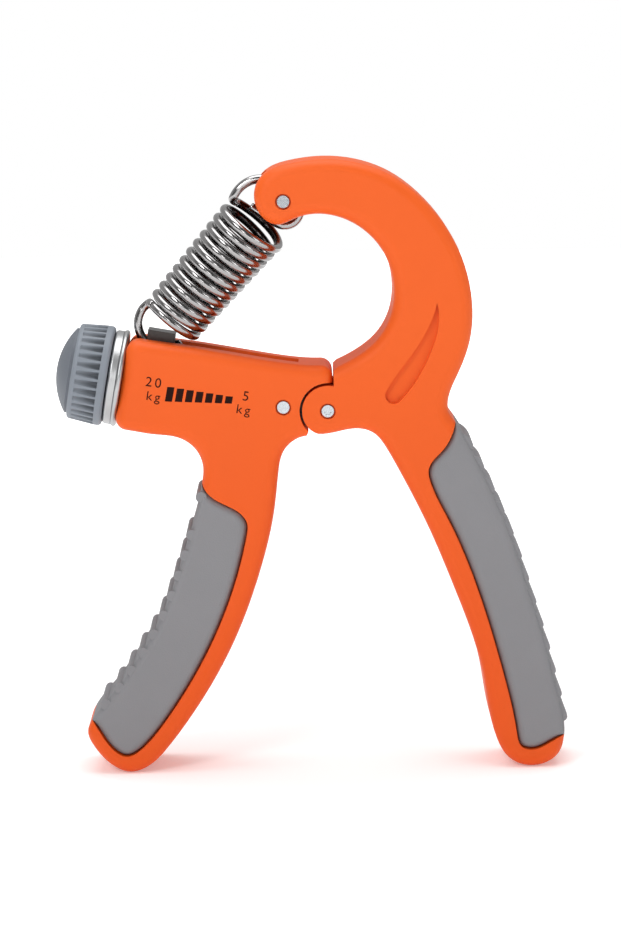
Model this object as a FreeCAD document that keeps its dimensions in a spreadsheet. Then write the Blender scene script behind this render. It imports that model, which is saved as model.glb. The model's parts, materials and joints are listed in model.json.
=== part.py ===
"""Adjustable hand grip strengthener, as a parametric FreeCAD document.

Two moulded arms turn on a steel pin. A coil spring runs from a pin in the right arm's slotted hook to a slider in
the left arm's housing, and a ribbed knob turns the screw that moves the slider and so sets the strength.

Outlines are drawn in the X-Z plane about the pivot pin: X to the right, Z up, Y into the depth, front towards -Y.
The finished pieces are then placed so that the object stands on its two handle ends, at the origin.
The screw's own frame has u along the screw, down to the right, n square to it, and starts just under the rivet.
"""
import FreeCAD, Part
import math
import os

from FreeCAD import Placement, Rotation, Vector

DIMENSIONS = {
    # where the pivot pin stands above the floor, and sideways of the middle of the whole
    "pivot_x": 4.336,
    "pivot_z": 90.422,
    # the moulded arms
    "arm_half": 11.0,
    "wall": 2.5,
    "arm_edge": 2.8,
    "corner": 2.9,
    "housing_top": 11.0,
    "housing_bottom": 11.4,
    "core_half": 8.4,
    "boss_radius": 6.3,
    "seam_radius": 6.95,
    "stop_left": 1.3,
    "stop_right": 1.55,
    "stop_top": 11.2,
    "dimple_depth": 1.3,
    # soft pads
    "pad_half": 10.7,
    "pad_wall": 2.6,
    "pad_gap": 0.2,
    "pad_edge": 1.9,
    "rib_radius": 1.35,
    "rib_sunk": 0.45,
    "rib_pitch": 5.35,
    "rib_half": 10.45,
    "rib_round": 1.0,
    "saw_half": 9.6,
    "saw_pitch": 6.05,
    "saw_height": 0.9,
    # hinge
    "pin_radius": 1.5,
    "pin_bore": 1.55,
    "pin_half": 10.6,
    "recess_radius": 1.95,
    "pin_round": 1.3,
    "pin_cross": 0.45,
    "recess_depth": 1.2,
    "plate_inside": 3.0,
    "plate_thickness": 2.0,
    "plate_radius": 4.6,
    "link_pocket": 5.6,
    "link_pocket_radius": 7.2,
    "spacer_radius": 3.4,
    "washer_radius": 4.4,
    "washer_thickness": 0.45,
    # adjusting screw and its housing
    "rivet_x": -10.9,
    "rivet_z": 1.1,
    "screw_x": -10.9,
    "screw_z": 0.4,
    "screw_tilt": 10.3,
    "housing_end": 40.4,
    "channel_half": 6.2,
    "channel_left": 38.4,
    "channel_right": 10.3,
    "slot_half": 3.45,
    "screw_radius": 2.5,
    "screw_root": 2.05,
    "screw_bore": 2.55,
    "thread_pitch": 2.0,
    "screw_left": 51.9,
    "screw_right": 5.8,
    "bush_radius": 4.2,
    "bush_length": 3.0,
    "circlip_groove": 7.2,
    "circlip_radius": 3.4,
    "circlip_thickness": 0.8,
    # knob and collar
    "collar_radius": 11.75,
    "collar_bead": 12.1,
    "collar_round": 0.7,
    "collar_bore": 5.0,
    "collar_length": 3.4,
    "hub_radius": 4.92,
    "hub_end": 40.9,
    "knob_start": 44.0,
    "knob_length": 8.8,
    "knob_radius": 12.45,
    "knob_face_radius": 11.9,
    "knob_rim": 2.0,
    "knob_grooves": 34,
    "groove_radius": 0.9,
    "cap_radius": 10.6,
    "cap_height": 4.2,
    # slider
    "slider_at": 32.625,
    "hook_height": 15.19,
    "nut_half_length": 3.5,
    "nut_half": 5.9,
    "saddle_half_length": 3.45,
    "saddle_half": 3.3,
    "saddle_top": 13.5,
    "saddle_foot": 3.6,
    "saddle_slot": 1.4,
    "saddle_round": 5.1,
    # spring
    "wire_radius": 1.1,
    "coil_radius": 7.3,
    "coil_pitch": 2.6,
    "coil_turns": 11,
    "coil_tilt": 47.8,
    "coil_x": -37.2,
    "coil_z": 23.4,
    "hook_radius": 6.3,
    "hook_start": 122,
    "hook_sweep": 190,
    "loop_reach": 28.4,
    "loop_radius": 7.4,
    "loop_centre": 5.95,
    "loop_tail": 4.0,
    # pin in the hook's slotted tip
    "anchor_x": -10.1,
    "anchor_z": 51.5,
    "tip_slot_half": 3.4,
    # shell screws
    "shank_radius": 1.3,
    "shank_bore": 1.35,
    "shank_tip": 5.4,
    "head_radius": 2.6,
    "head_under": 6.0,
    "head_length": 1.6,
    "cross_width": 0.8,
    "boss_outer": 3.4,
}

# Outlines in the X-Z plane about the pivot pin, as runs of points: two points make a line, more make a curve.
LEFT_TOP = [(-34.0, 16.1), (-20.0, 13.6), (-8.0, 11.6)]
LEFT_INNER = [(-5.3, -6.3), (-8.1, -7.2), (-11.0, -10.0), (-12.4, -15.4), (-13.7, -25.5), (-17.3, -39.8)]
LEFT_INNER += [(-24.2, -57.8), (-33.6, -74.2), (-41.2, -84.4), (-45.9, -88.9), (-51.0, -90.4), (-55.6, -88.3)]
LEFT_INNER += [(-59.6, -83.8), (-61.1, -79.8), (-59.9, -76.8)]
LEFT_OUTER = [(-59.9, -76.8), (-53.9, -69.4), (-47.8, -60.7), (-42.2, -51.3), (-38.1, -41.0), (-34.5, -30.1)]
LEFT_OUTER += [(-31.3, -17.6)]
LEFT_NECK = [(-31.3, -17.6), (-31.0, -13.4), (-32.6, -9.4), (-36.6, -6.4)]
LEFT_PAD_EDGE = [(-31.3, -17.6), (-30.0, -19.9), (-26.2, -22.6), (-22.5, -24.6), (-20.3, -27.6), (-20.5, -31.0)]
LEFT_PAD_EDGE += [(-23.3, -41.8), (-31.5, -61.3), (-42.6, -78.7), (-47.2, -83.9), (-51.4, -86.1), (-55.4, -83.6)]
LEFT_PAD_EDGE += [(-58.3, -79.2), (-59.9, -76.8)]
LEFT_CORE_INSIDE = [(-30.0, -12.0), (0.0, -20.0), (-30.0, -95.0), (-60.0, -90.0)]
LEFT_OUTSIDE = [(-64.0, -74.0), (-75.0, -30.0), (-37.0, -14.5)]

RIGHT_HOOK_INNER = [(2.6, 10.8), (7.6, 13.4), (12.9, 17.9), (16.1, 24.6), (16.4, 31.5), (14.7, 37.7), (10.3, 43.5)]
RIGHT_HOOK_INNER += [(3.6, 47.4), (-2.5, 48.3), (-7.4, 47.2)]
RIGHT_TIP = [(-7.4, 47.2), (-11.4, 45.8), (-15.0, 47.4), (-17.0, 51.2), (-17.0, 54.6), (-14.7, 58.2)]
RIGHT_BACK = [(-14.7, 58.2), (-8.5, 60.7), (-0.8, 61.6), (8.0, 60.7), (16.5, 57.4), (23.5, 52.0), (29.5, 44.8)]
RIGHT_BACK += [(33.7, 36.2), (35.7, 27.0), (35.3, 17.4), (32.2, 8.6), (29.8, 2.8), (29.8, -0.8), (31.4, -3.4)]
RIGHT_OUTER = [(31.4, -3.4), (34.8, -9.2), (40.9, -22.1), (46.0, -35.1), (49.6, -46.8), (53.1, -58.6), (55.9, -70.2)]
RIGHT_OUTER += [(57.9, -82.4)]
RIGHT_INNER = [(57.9, -82.4), (56.4, -87.4), (49.4, -90.4), (43.8, -88.1), (41.3, -84.0), (37.6, -66.4)]
RIGHT_INNER += [(30.9, -45.3), (23.8, -28.0), (17.3, -15.0), (14.2, -9.4), (11.4, -6.0), (7.6, -4.7), (2.7, -5.3)]
RIGHT_INNER += [(-2.15, -5.92)]
RIGHT_PAD_EDGE = [(31.4, -3.4), (30.3, -6.6), (28.4, -9.8), (26.0, -12.3), (24.6, -14.9), (25.0, -18.0)]
RIGHT_PAD_EDGE += [(29.1, -27.0), (37.0, -46.7), (43.3, -68.9), (45.9, -81.6), (47.2, -85.2), (49.6, -85.9)]
RIGHT_PAD_EDGE += [(54.0, -84.3), (57.9, -82.4)]
RIGHT_CORE_INSIDE = [(54.0, -95.0), (20.0, -90.0), (10.0, -15.0), (26.0, 4.0)]
RIGHT_OUTSIDE = [(64.0, -81.0), (75.0, -30.0), (35.0, -1.5)]

HOOK_CAVITY = [(2.5, 58.6), (13.6, 55.4), (24.4, 46.6), (31.6, 34.0), (33.0, 22.0), (30.6, 12.0), (27.6, 5.4)]
HOOK_CAVITY_INSIDE = [(16.0, 2.0), (16.0, 13.0), (18.8, 22.0), (19.4, 32.5), (16.6, 40.4), (10.5, 47.4), (2.5, 50.8)]
DIMPLE_OUTER = [(27.1, 26.2), (27.3, 20.0), (25.5, 14.3), (21.6, 6.9), (17.4, 1.9)]
DIMPLE_FOOT = (14.9, 2.1)
DIMPLE_INNER = [(14.3, 4.6), (17.2, 9.0), (21.2, 14.2), (25.0, 20.4), (27.1, 26.2)]

LEFT_SCREWS = [(-21.5, -12.5), (-25.0, -34.0), (-42.3, -68.0)]
RIGHT_SCREWS = [(24.0, 40.5), (22.2, -7.4), (35.0, -31.0), (47.4, -71.0)]

doc = FreeCAD.newDocument("HandGrip")
sheet = doc.addObject("Spreadsheet::Sheet", "Dimensions")
for row, (alias, value) in enumerate(DIMENSIONS.items(), start=1):
    sheet.set(f"A{row}", alias)
    sheet.set(f"B{row}", str(value))
    sheet.setAlias(f"B{row}", alias)
doc.recompute()

nodes = []


def size(alias):
    return float(sheet.get(alias))


def bind(obj, **properties):
    """Bind each property of obj to an expression in the sheet's aliases."""
    for name, expression in properties.items():
        text = str(expression)
        for alias in sorted(DIMENSIONS, key=len, reverse=True):
            text = text.replace(f"<{alias}>", f"Dimensions.{alias}")
        obj.setExpression(name.replace("__", "."), text)
    return obj


def node(obj, label, frame="pivot"):
    """Name a finished piece drawn in the pivot's frame or the screw's, and stand it on the floor."""
    obj.Label = label
    if frame == "screw":
        obj.Placement = Placement(Vector(), screw_turn())
        bind(obj, Placement__Base__x="<pivot_x>+<screw_x>", Placement__Base__z="<pivot_z>+<screw_z>")
    else:
        bind(obj, Placement__Base__x="<pivot_x>", Placement__Base__z="<pivot_z>")
    nodes.append(obj)
    return obj


def screw_turn():
    return Rotation(Vector(0, 1, 0), size("screw_tilt"))


def in_pivot_frame(obj):
    """Carry something drawn in the screw's frame over to the pivot's."""
    obj.Placement = Placement(Vector(), screw_turn())
    return bind(obj, Placement__Base__x="<screw_x>", Placement__Base__z="<screw_z>")


def screw_xy(u, n):
    """X and Z, about the pivot, of a point in the screw's frame."""
    tilt = math.radians(size("screw_tilt"))
    x = size("screw_x") + u * math.cos(tilt) + n * math.sin(tilt)
    return x, size("screw_z") - u * math.sin(tilt) + n * math.cos(tilt)


# ---------------------------------------------------------------- outlines and sketches


def flat(point):
    return Vector(point[0], point[1], 0)


def curve(points, **tangents):
    """A line through two points, or a smooth curve through more, with its direction at an end if given."""
    if len(points) == 2:
        return Part.LineSegment(flat(points[0]), flat(points[1]))
    spline = Part.BSplineCurve()
    spline.interpolate(Points=[flat(p) for p in points], **tangents)
    return spline


def arc(start, middle, end):
    return Part.Arc(flat(start), flat(middle), flat(end))


def rounded(corner, before, after, radius):
    """The arc that rounds a corner between two directions."""
    turn = before.getAngle(after)
    back = radius * math.tan(turn / 2)
    middle = (after - before).normalize() * (radius / math.cos(turn / 2) - radius)
    return Part.Arc(corner - before * back, corner + middle, corner + after * back)


def circle(point, radius):
    return Part.Circle(flat(point), Vector(0, 0, 1), radius)


def chain(*points):
    """Straight lines from point to point."""
    return [curve([a, b]) for a, b in zip(points, points[1:])]


def ends(run):
    if isinstance(run, list):
        return flat(run[0]), flat(run[-1])
    return run.value(run.FirstParameter), run.value(run.LastParameter)


def smooth(*runs):
    """One smooth curve through several runs that follow each other, cut again into a piece for each run."""
    points = list(runs[0])
    for run in runs[1:]:
        points += run[1:]
    whole = curve(points)
    pieces = []
    for run in runs:
        piece = whole.copy()
        first = whole.FirstParameter if run is runs[0] else whole.parameter(flat(run[0]))
        last = whole.LastParameter if run is runs[-1] else whole.parameter(flat(run[-1]))
        piece.segment(first, last)
        pieces.append(piece)
    return pieces


def closed(*runs):
    """Curves for the runs in turn, with a line wherever one run doesn't start where the last one ended."""
    curves = []
    last = ends(runs[-1])[1]
    for run in runs:
        first, end = ends(run)
        if first.distanceToPoint(last) > 1e-6:
            curves.append(Part.LineSegment(last, first))
        curves.append(curve(run) if isinstance(run, list) else run)
        last = end
    return curves


def polygon(*points):
    return chain(*points, points[0])


def shifted(points, distance):
    """A run of points moved inwards, to the right of its own direction."""
    moved = []
    for i, (x, z) in enumerate(points):
        x0, z0 = points[max(i - 1, 0)]
        x1, z1 = points[min(i + 1, len(points) - 1)]
        length = math.hypot(x1 - x0, z1 - z0)
        moved.append((x + (z1 - z0) / length * distance, z - (x1 - x0) / length * distance))
    return moved


def polar(radius, degrees):
    return radius * math.cos(math.radians(degrees)), radius * math.sin(math.radians(degrees))


def new_body(name):
    return doc.addObject("PartDesign::Body", name)


def sketch(body, curves, plane="XZ_Plane", offset=None):
    """A sketch in body on one of its origin planes, offset along the plane's normal."""
    made = body.newObject("Sketcher::SketchObject", body.Name + "_sketch")
    support = [f for f in body.Origin.OriginFeatures if f.Role == plane][0]
    made.AttachmentSupport = [(support, "")]
    made.MapMode = "FlatFace"
    if offset is not None:
        bind(made, AttachmentOffset__Base__z=offset)
    made.addGeometry(curves)
    return made


def extrude(kind, body, curves, length, side, offset, plane):
    made = body.newObject(f"PartDesign::{kind}", f"{body.Name}_{kind}")
    made.Profile = sketch(body, curves, plane, offset)
    made.Midplane = side == 0
    made.Reversed = side == (-1 if kind == "Pad" else 1)
    bind(made, Length=length)
    doc.recompute()
    return made


def pad(body, curves, length, side=1, offset=None, plane="XZ_Plane"):
    """Add towards the front (side 1), the back (side -1), or both ways at once (side 0)."""
    before = body.Shape.Volume if body.Tip else 0.0
    made = extrude("Pad", body, curves, length, side, offset, plane)
    if not body.Shape.Volume > before + 1e-3:
        raise RuntimeError(f"{made.Name} added nothing")
    return made


def pocket(body, curves, length, side=1, offset=None, plane="XZ_Plane"):
    """Cut towards the front (side 1), the back (side -1), or both ways at once (side 0)."""
    before = body.Shape.Volume
    made = extrude("Pocket", body, curves, length, side, offset, plane)
    if not body.Shape.Volume < before - 1e-3:
        raise RuntimeError(f"{made.Name} cut nothing")
    return made


def fillet(body, edges, radius):
    """Round the numbered edges of body's tip."""
    tip = body.Tip
    made = body.newObject("PartDesign::Fillet", body.Name + "_Fillet")
    made.Base = (tip, [f"Edge{i}" for i in edges])
    bind(made, Radius=radius)
    doc.recompute()
    if "Invalid" in made.State or "Error" in made.State:
        raise RuntimeError(f"{made.Name}: {len(edges)} edges could not be rounded")
    return made


def edges_where(shape, test):
    """Numbers of the edges on which every sample point passes the test."""
    found = []
    for i, edge in enumerate(shape.Edges, start=1):
        if all(test(p) for p in edge.discretize(7)):
            found.append(i)
    return found


def revolve(name, curves):
    """A solid of revolution about the local X axis, from an outline of distance along it and radius."""
    body = new_body(name)
    made = body.newObject("PartDesign::Revolution", name + "_Revolution")
    profile = sketch(body, curves)
    made.Profile = profile
    made.ReferenceAxis = (profile, ["H_Axis"])
    made.Angle = 360
    doc.recompute()
    return body


# ---------------------------------------------------------------- primitives and booleans


def cylinder(name, start, direction, radius, height):
    """A cylinder from start along direction, with its radius and height bound."""
    made = doc.addObject("Part::Cylinder", name)
    bind(made, Radius=radius, Height=height)
    made.Placement = Placement(Vector(*start), Rotation(Vector(0, 0, 1), Vector(*direction)))
    return made


def across(name, x, z, half, radius):
    """A cylinder along Y through x, z, reaching half both ways."""
    made = cylinder(name, (x, 0, z), (0, 1, 0), radius, f"2*({half})")
    return bind(made, Placement__Base__y=f"-({half})")


def along(name, left, right, radius, n=0):
    """A cylinder along the screw, from left to right of the rivet."""
    made = cylinder(name, (0, 0, n), (1, 0, 0), radius, f"({right})-({left})")
    return bind(made, Placement__Base__x=left)


def block(name, left, right, half, bottom, top):
    """A box from left to right, within half of the middle plane, from bottom to top."""
    made = doc.addObject("Part::Box", name)
    bind(made, Length=f"({right})-({left})", Width=f"2*({half})", Height=f"({top})-({bottom})")
    return bind(made, Placement__Base__x=left, Placement__Base__y=f"-({half})", Placement__Base__z=bottom)


def cut(name, base, *tools):
    made = doc.addObject("Part::Cut", name)
    made.Base = base
    made.Tool = tools[0] if len(tools) == 1 else fuse(name + "_tools", *tools)
    return made


def fuse(name, *shapes):
    made = doc.addObject("Part::MultiFuse", name)
    made.Shapes = list(shapes)
    return made


def rounded_ends(name, base, radius, *edges):
    """A cylinder with a round on its far end's edge, 1, or its near end's edge, 3, or both."""
    made = doc.addObject("Part::Fillet", name)
    made.Base = base
    made.Edges = [(edge, radius, radius) for edge in edges]
    return made


def group(name, *shapes):
    """Separate solids kept in one node."""
    made = doc.addObject("Part::Compound", name)
    made.Links = list(shapes)
    return made


# ---------------------------------------------------------------- arm shells


def left_curves():
    """The left handle's inner side, its outer side under the pad, and its neck under the housing."""
    end, bottom = -size("housing_end") + size("corner"), -size("housing_bottom")
    floor = [screw_xy(end + step, bottom) for step in (6.4, 2.6, 0.0)]
    return smooth(LEFT_INNER, LEFT_OUTER, LEFT_NECK + floor)


def right_curves():
    """The hook's inside, its tip, its back in two pieces, the handle's outer side under the pad, and its inner side."""
    return smooth(RIGHT_HOOK_INNER, RIGHT_TIP, RIGHT_BACK[:6], RIGHT_BACK[5:], RIGHT_OUTER, RIGHT_INNER[:6],
                  RIGHT_INNER[5:])


def left_outline():
    seam, stop = size("seam_radius"), size("stop_left")
    top = math.degrees(math.acos(stop / seam))
    inner, outer, neck = left_curves()
    radius, end = size("corner"), -size("housing_end")
    along_screw = flat(screw_xy(1, 0)) - flat(screw_xy(0, 0))
    up_end = flat(screw_xy(0, 1)) - flat(screw_xy(0, 0))
    right, down = Vector(1, 0, 0), Vector(0, -1, 0)
    low = rounded(flat(screw_xy(end, -size("housing_bottom"))), -along_screw, up_end, radius)
    lip = rounded(flat(screw_xy(end, size("housing_top"))), up_end, along_screw, radius)
    stop_top = rounded(Vector(stop, size("stop_top"), 0), right, down, radius)
    first, last = ends(lip)[1], ends(stop_top)[0]
    ridge = [(first.x, first.y), *LEFT_TOP, (last.x, last.y)]
    return closed(
        neck,
        low,
        lip,
        curve(ridge, InitialTangent=along_screw, FinalTangent=right),
        stop_top,
        arc(polar(seam, top), polar(seam, 165), polar(seam, 226)),
        inner,
        outer,
    )


def right_outline():
    boss, stop = size("boss_radius"), size("stop_right")
    top = math.degrees(math.acos(stop / boss))
    return closed(
        *right_curves(),
        arc(RIGHT_INNER[-1], polar(boss, 170), polar(boss, top)),
        [polar(boss, top), (stop, RIGHT_HOOK_INNER[0][1] - 1.1)],
    )


def face_rim(shape, side, sharp):
    """Edges of the outer face, without those whose middle lies where sharp is true."""
    y = -side * size("arm_half")
    rim = edges_where(shape, lambda p: abs(p.y - y) < 1e-4)
    return [i for i in rim if not sharp(shape.Edges[i - 1].discretize(3)[1])]


def left_body(side):
    body = new_body("left_front" if side == 1 else "left_back")
    pad(body, left_outline(), "<arm_half>", side)
    at_seam = size("seam_radius") + 1.3
    rim = face_rim(body.Shape, side, lambda p: math.hypot(p.x, p.z) < at_seam or p.x > 1.0)
    fillet(body, rim, "<arm_edge>")
    inner = shifted(LEFT_INNER[3:9], size("wall"))
    outer = shifted(LEFT_OUTER[1:-1], size("pad_wall") + size("wall"))
    pocket(body, closed(inner, outer), "<core_half>-<wall>", side)
    pad(body, [circle(p, size("boss_outer")) for p in LEFT_SCREWS[1:]], "<core_half>", side)
    return body


def right_body(side):
    body = new_body("right_front" if side == 1 else "right_back")
    pad(body, right_outline(), "<arm_half>", side)
    at_boss = size("boss_radius") + 0.1
    rim = face_rim(body.Shape, side, lambda p: math.hypot(p.x, p.z) < at_boss or (p.x < 2.7 and 0 < p.z < 13))
    fillet(body, rim, "<arm_edge>")
    inner = shifted(RIGHT_INNER[4:9], size("wall"))
    outer = shifted(RIGHT_OUTER[2:-1], size("pad_wall") + size("wall"))
    pocket(body, closed(inner, outer), "<core_half>-<wall>", side)
    pocket(body, closed(HOOK_CAVITY, HOOK_CAVITY_INSIDE), "<arm_half>-<wall>", side)
    pad(body, [circle(p, size("boss_outer")) for p in RIGHT_SCREWS[2:]], "<core_half>", side)
    pad(body, [circle(RIGHT_SCREWS[0], size("boss_outer"))], "<arm_half>-<wall>/2", side)
    dimple = closed(DIMPLE_OUTER, arc(DIMPLE_OUTER[-1], DIMPLE_FOOT, DIMPLE_INNER[0]), DIMPLE_INNER)
    pocket(body, dimple, "<dimple_depth>+1", side, f"{side}*(<arm_half>-<dimple_depth>)")
    return body


def pin_holes(name, points):
    """Bores right across for the pins, with wider recesses round their ends."""
    tools = []
    for i, (x, z) in enumerate(points):
        tools.append(across(f"{name}_bore{i}", x, z, "<arm_half>+1", "<pin_bore>"))
        for side in (-1, 1):
            mouth = cylinder(f"{name}_mouth{i}", (x, 0, z), (0, side, 0), "<recess_radius>", 5)
            tools.append(bind(mouth, Placement__Base__y=f"{side}*(<arm_half>-<recess_depth>)"))
    return tools


def screw_holes(name, points):
    """Deep seats for the screws' heads from the back, and shank holes that stay blind at the front."""
    tools = []
    for i, (x, z) in enumerate(points):
        hole = cylinder(f"{name}_hole{i}", (x, 0, z), (0, 1, 0), "<shank_bore>", "<arm_half>+<shank_tip>+1")
        seat = cylinder(f"{name}_seat{i}", (x, 0, z), (0, 1, 0), "<head_radius>+0.1", "<arm_half>")
        tools.append(bind(hole, Placement__Base__y="-<shank_tip>-0.3"))
        tools.append(bind(seat, Placement__Base__y="<head_under>"))
    return tools


def link_plates(name, radius, inside, thickness):
    """Two plates, one each side of the middle, from round the pivot to round the rivet."""
    x, z = size("rivet_x"), size("rivet_z")
    reach = math.hypot(x, z)
    sx, sz = -z / reach, x / reach
    r = radius
    body = new_body(name)
    outline = closed(
        arc((sx * r, sz * r), (-x / reach * r, -z / reach * r), (-sx * r, -sz * r)),
        arc((x - sx * r, z - sz * r), (x + x / reach * r, z + z / reach * r), (x + sx * r, z + sz * r)),
    )
    pad(body, outline, f"2*({inside}+{thickness})", 0)
    return cut(name + "_pair", body, block(name + "_middle", -30, 20, inside, -20, 20))


def left_tools():
    """What both left halves lose: the slider's channel and slot, the screw's bores and the hinge plates' room."""
    screw_side = [
        block("channel", "-<channel_left>", "-<channel_right>", "<channel_half>", "-<channel_half>", "<channel_half>"),
        block("top_slot", -44, 1.9, "<slot_half>", 5, 20),
        along("end_bore", -42, -38, "<screw_bore>"),
        along("bush_seat", "-<channel_right>-1", "-<channel_right>+<bush_length>", "<bush_radius>"),
        along("screw_end_room", "-<channel_right>+<bush_length>-1", -3.6, 3.9),
    ]
    return [
        in_pivot_frame(fuse("screw_side", *screw_side)),
        link_plates("plate_room", size("plate_radius") + 0.1, size("plate_inside") - 0.05,
                    size("plate_thickness") + 0.1),
        across("spacer_room", size("rivet_x"), size("rivet_z"), "<plate_inside>", "<spacer_radius>+0.1"),
        *pin_holes("left_pins", [(size("rivet_x"), size("rivet_z"))]),
    ]


def right_tools():
    """What both right halves lose: the link plates' pocket, the pins' bores and the slot in the hook's tip."""
    return [
        across("link_pocket", 0, 0, "<link_pocket>", "<link_pocket_radius>"),
        block("tip_slot", -22, -3.6, "<tip_slot_half>", 38, 58.6),
        *pin_holes("right_pins", [(0, 0), (size("anchor_x"), size("anchor_z"))]),
    ]


def handle_core(name, outer, inside):
    """What a pad wraps: everything inside its outer wall, within the core's thickness."""
    body = new_body(name)
    pad(body, closed(shifted(outer, size("pad_wall")), *segments(inside)), "2*<core_half>", 0)
    return body


def segments(points):
    return [[a, b] for a, b in zip(points, points[1:])] or [points]


def pad_room(name, edge, outside, core):
    """What the shells lose to a pad: everything beyond the pad's edge, except the core."""
    body = new_body(name)
    pad(body, closed(edge, *segments(outside)), "2*(<arm_half>+2)", 0)
    return cut(name + "_room", body, core)


def arm_shells(arm, make_body, tools, screws):
    """The front and back half of one arm, with the cuts they share and the screw holes taken out."""
    shared = fuse(f"{arm}_tools", *tools, *screw_holes(arm, screws))
    for side, word in ((1, "front"), (-1, "back")):
        node(cut(f"{arm}_{word}_shell", make_body(side), shared), f"{arm}_{word}_shell")


# ---------------------------------------------------------------- soft pads


def grip_pad(name, edge, outer, core, ribs):
    """A U-shaped ribbed pad round the outside of a handle."""
    body = new_body(name + "_blank")
    pad(body, closed(edge, outer), "2*<pad_half>", 0)
    y = size("pad_half")
    fillet(body, edges_where(body.Shape, lambda p: abs(abs(p.y) - y) < 1e-4), "<pad_edge>")
    return node(cut(name + "_cut", fuse(name + "_ribbed", body, *ribs), core), name)


def along_outline(line, first, pitch, count):
    """Points at equal steps along a curve, each with its direction and the outward normal."""
    found = []
    for i in range(count):
        t = line.parameterAtDistance(first + i * pitch, line.FirstParameter)
        way = line.tangent(t)[0]
        found.append((line.value(t), way, Vector(-way.y, way.x, 0)))
    return found


def round_ribs(outer):
    """Round-ended bars sunk into the pad's outside, with one more at its top end."""
    steps = along_outline(outer, 5.4, size("rib_pitch"), 10)
    steps += along_outline(outer, outer.length() - 3.3, size("rib_pitch"), 1)
    ribs = []
    for i, (at, _, out) in enumerate(steps):
        centre = at - out * size("rib_sunk")
        bar = across(f"round_rib{i}", centre.x, centre.y, "<rib_half>", "<rib_radius>")
        ribs.append(rounded_ends(f"round_rib_soft{i}", bar, size("rib_round"), 1, 3))
    return ribs


def saw_ribs(outer):
    """Ribs that swell slowly from the top and end in a short step."""
    ribs = []
    for at, way, out in along_outline(outer, 6.0, size("saw_pitch"), 13):
        root = at - way * 3.6 - out * 0.9
        swell = at - way * 1.2 + out * size("saw_height") * 0.75
        crest = at + way * 0.9 + out * size("saw_height")
        foot = at + way * 1.7 - out * 0.9
        nose = at + way * 1.6 + out * size("saw_height") * 0.45
        rib = new_body(f"saw_rib{len(ribs)}")
        outline = [Part.Arc(root, swell, crest), Part.Arc(crest, nose, foot), Part.LineSegment(foot, root)]
        pad(rib, outline, "2*<saw_half>", 0)
        ribs.append(rib)
    return ribs


# ---------------------------------------------------------------- hinge


def hinge_parts():
    x, z = size("rivet_x"), size("rivet_z")
    plates = link_plates("plates", size("plate_radius"), size("plate_inside"), size("plate_thickness"))
    bores = [across("plate_bore_pivot", 0, 0, 8, "<pin_radius>"), across("plate_bore_rivet", x, z, 8, "<pin_radius>")]
    node(cut("hinge_plates", plates, *bores), "hinge_plates")
    spacers = []
    for i, (cx, cz) in enumerate(((0, 0), (x, z))):
        tube = across(f"spacer{i}", cx, cz, "<plate_inside>", "<spacer_radius>")
        spacers.append(cut(f"spacer_ring{i}", tube, across(f"spacer_bore{i}", cx, cz, 8, "<pin_radius>")))
    node(group("hinge_spacers", *spacers), "hinge_spacers")
    washers = []
    for side in (-1, 1):
        disc = cylinder(f"washer{side + 1}", (0, 0, 0), (0, side, 0), "<washer_radius>", "<washer_thickness>")
        bind(disc, Placement__Base__y=f"{side}*(<plate_inside>+<plate_thickness>)")
        washers.append(cut(f"washer_ring{side + 1}", disc, across(f"washer_bore{side + 1}", 0, 0, 8, "<pin_radius>")))
    node(group("pivot_washers", *washers), "pivot_washers")
    main = rounded_ends("pivot_soft", across("pivot", 0, 0, "<pin_half>", "<pin_radius>"), size("pin_round"), 1, 3)
    cross = [drive_bar("pivot_cross0", "2*<pin_cross>", "4*<pin_cross>"),
             drive_bar("pivot_cross1", "4*<pin_cross>", "2*<pin_cross>")]
    node(cut("main_pin", main, *cross), "pivot_pin")
    anchor = across("anchor", size("anchor_x"), size("anchor_z"), "<pin_half>", "<pin_radius>")
    node(group("anchor_pin", rounded_ends("anchor_soft", anchor, size("pin_round"), 1, 3)), "spring_anchor_pin")
    shank = across("rivet", x, z, "<pin_half>", "<pin_radius>")
    node(group("rivet_pin", rounded_ends("rivet_soft", shank, size("pin_round"), 1, 3)), "hinge_rivet")


def drive_bar(name, wide, high):
    """One bar of the shallow cross in the pivot pin's front end."""
    bar = doc.addObject("Part::Box", name)
    bind(bar, Length=wide, Height=high, Width="1+<pin_cross>")
    return bind(bar, Placement__Base__x=f"-({wide})/2", Placement__Base__y="-<pin_half>-1",
                Placement__Base__z=f"-({high})/2")


def shell_screws(name, points):
    """Cross-headed screws from the back, all alike."""
    screws = []
    for i, (x, z) in enumerate(points):
        shank = cylinder(f"{name}_shank{i}", (x, 0, z), (0, 1, 0), "<shank_radius>", "<head_under>+<shank_tip>")
        head = cylinder(f"{name}_head{i}", (x, 0, z), (0, 1, 0), "<head_radius>", "<head_length>")
        bind(shank, Placement__Base__y="-<shank_tip>")
        bind(head, Placement__Base__y="<head_under>")
        bars = []
        for k, (wide, high) in enumerate(((3.2, "<cross_width>"), ("<cross_width>", 3.2))):
            bar = doc.addObject("Part::Box", f"{name}_cross{i}{k}")
            bind(bar, Length=wide, Height=high, Width=2)
            bind(bar, Placement__Base__x=f"{x}-({wide})/2", Placement__Base__z=f"{z}-({high})/2")
            bars.append(bind(bar, Placement__Base__y="<head_under>+<head_length>-0.9"))
        screws.append(cut(f"{name}{i}", fuse(f"{name}_blank{i}", shank, head), *bars))
    node(group(name, *screws), name)


# ---------------------------------------------------------------- screw, knob and collar, in the screw's frame


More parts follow.
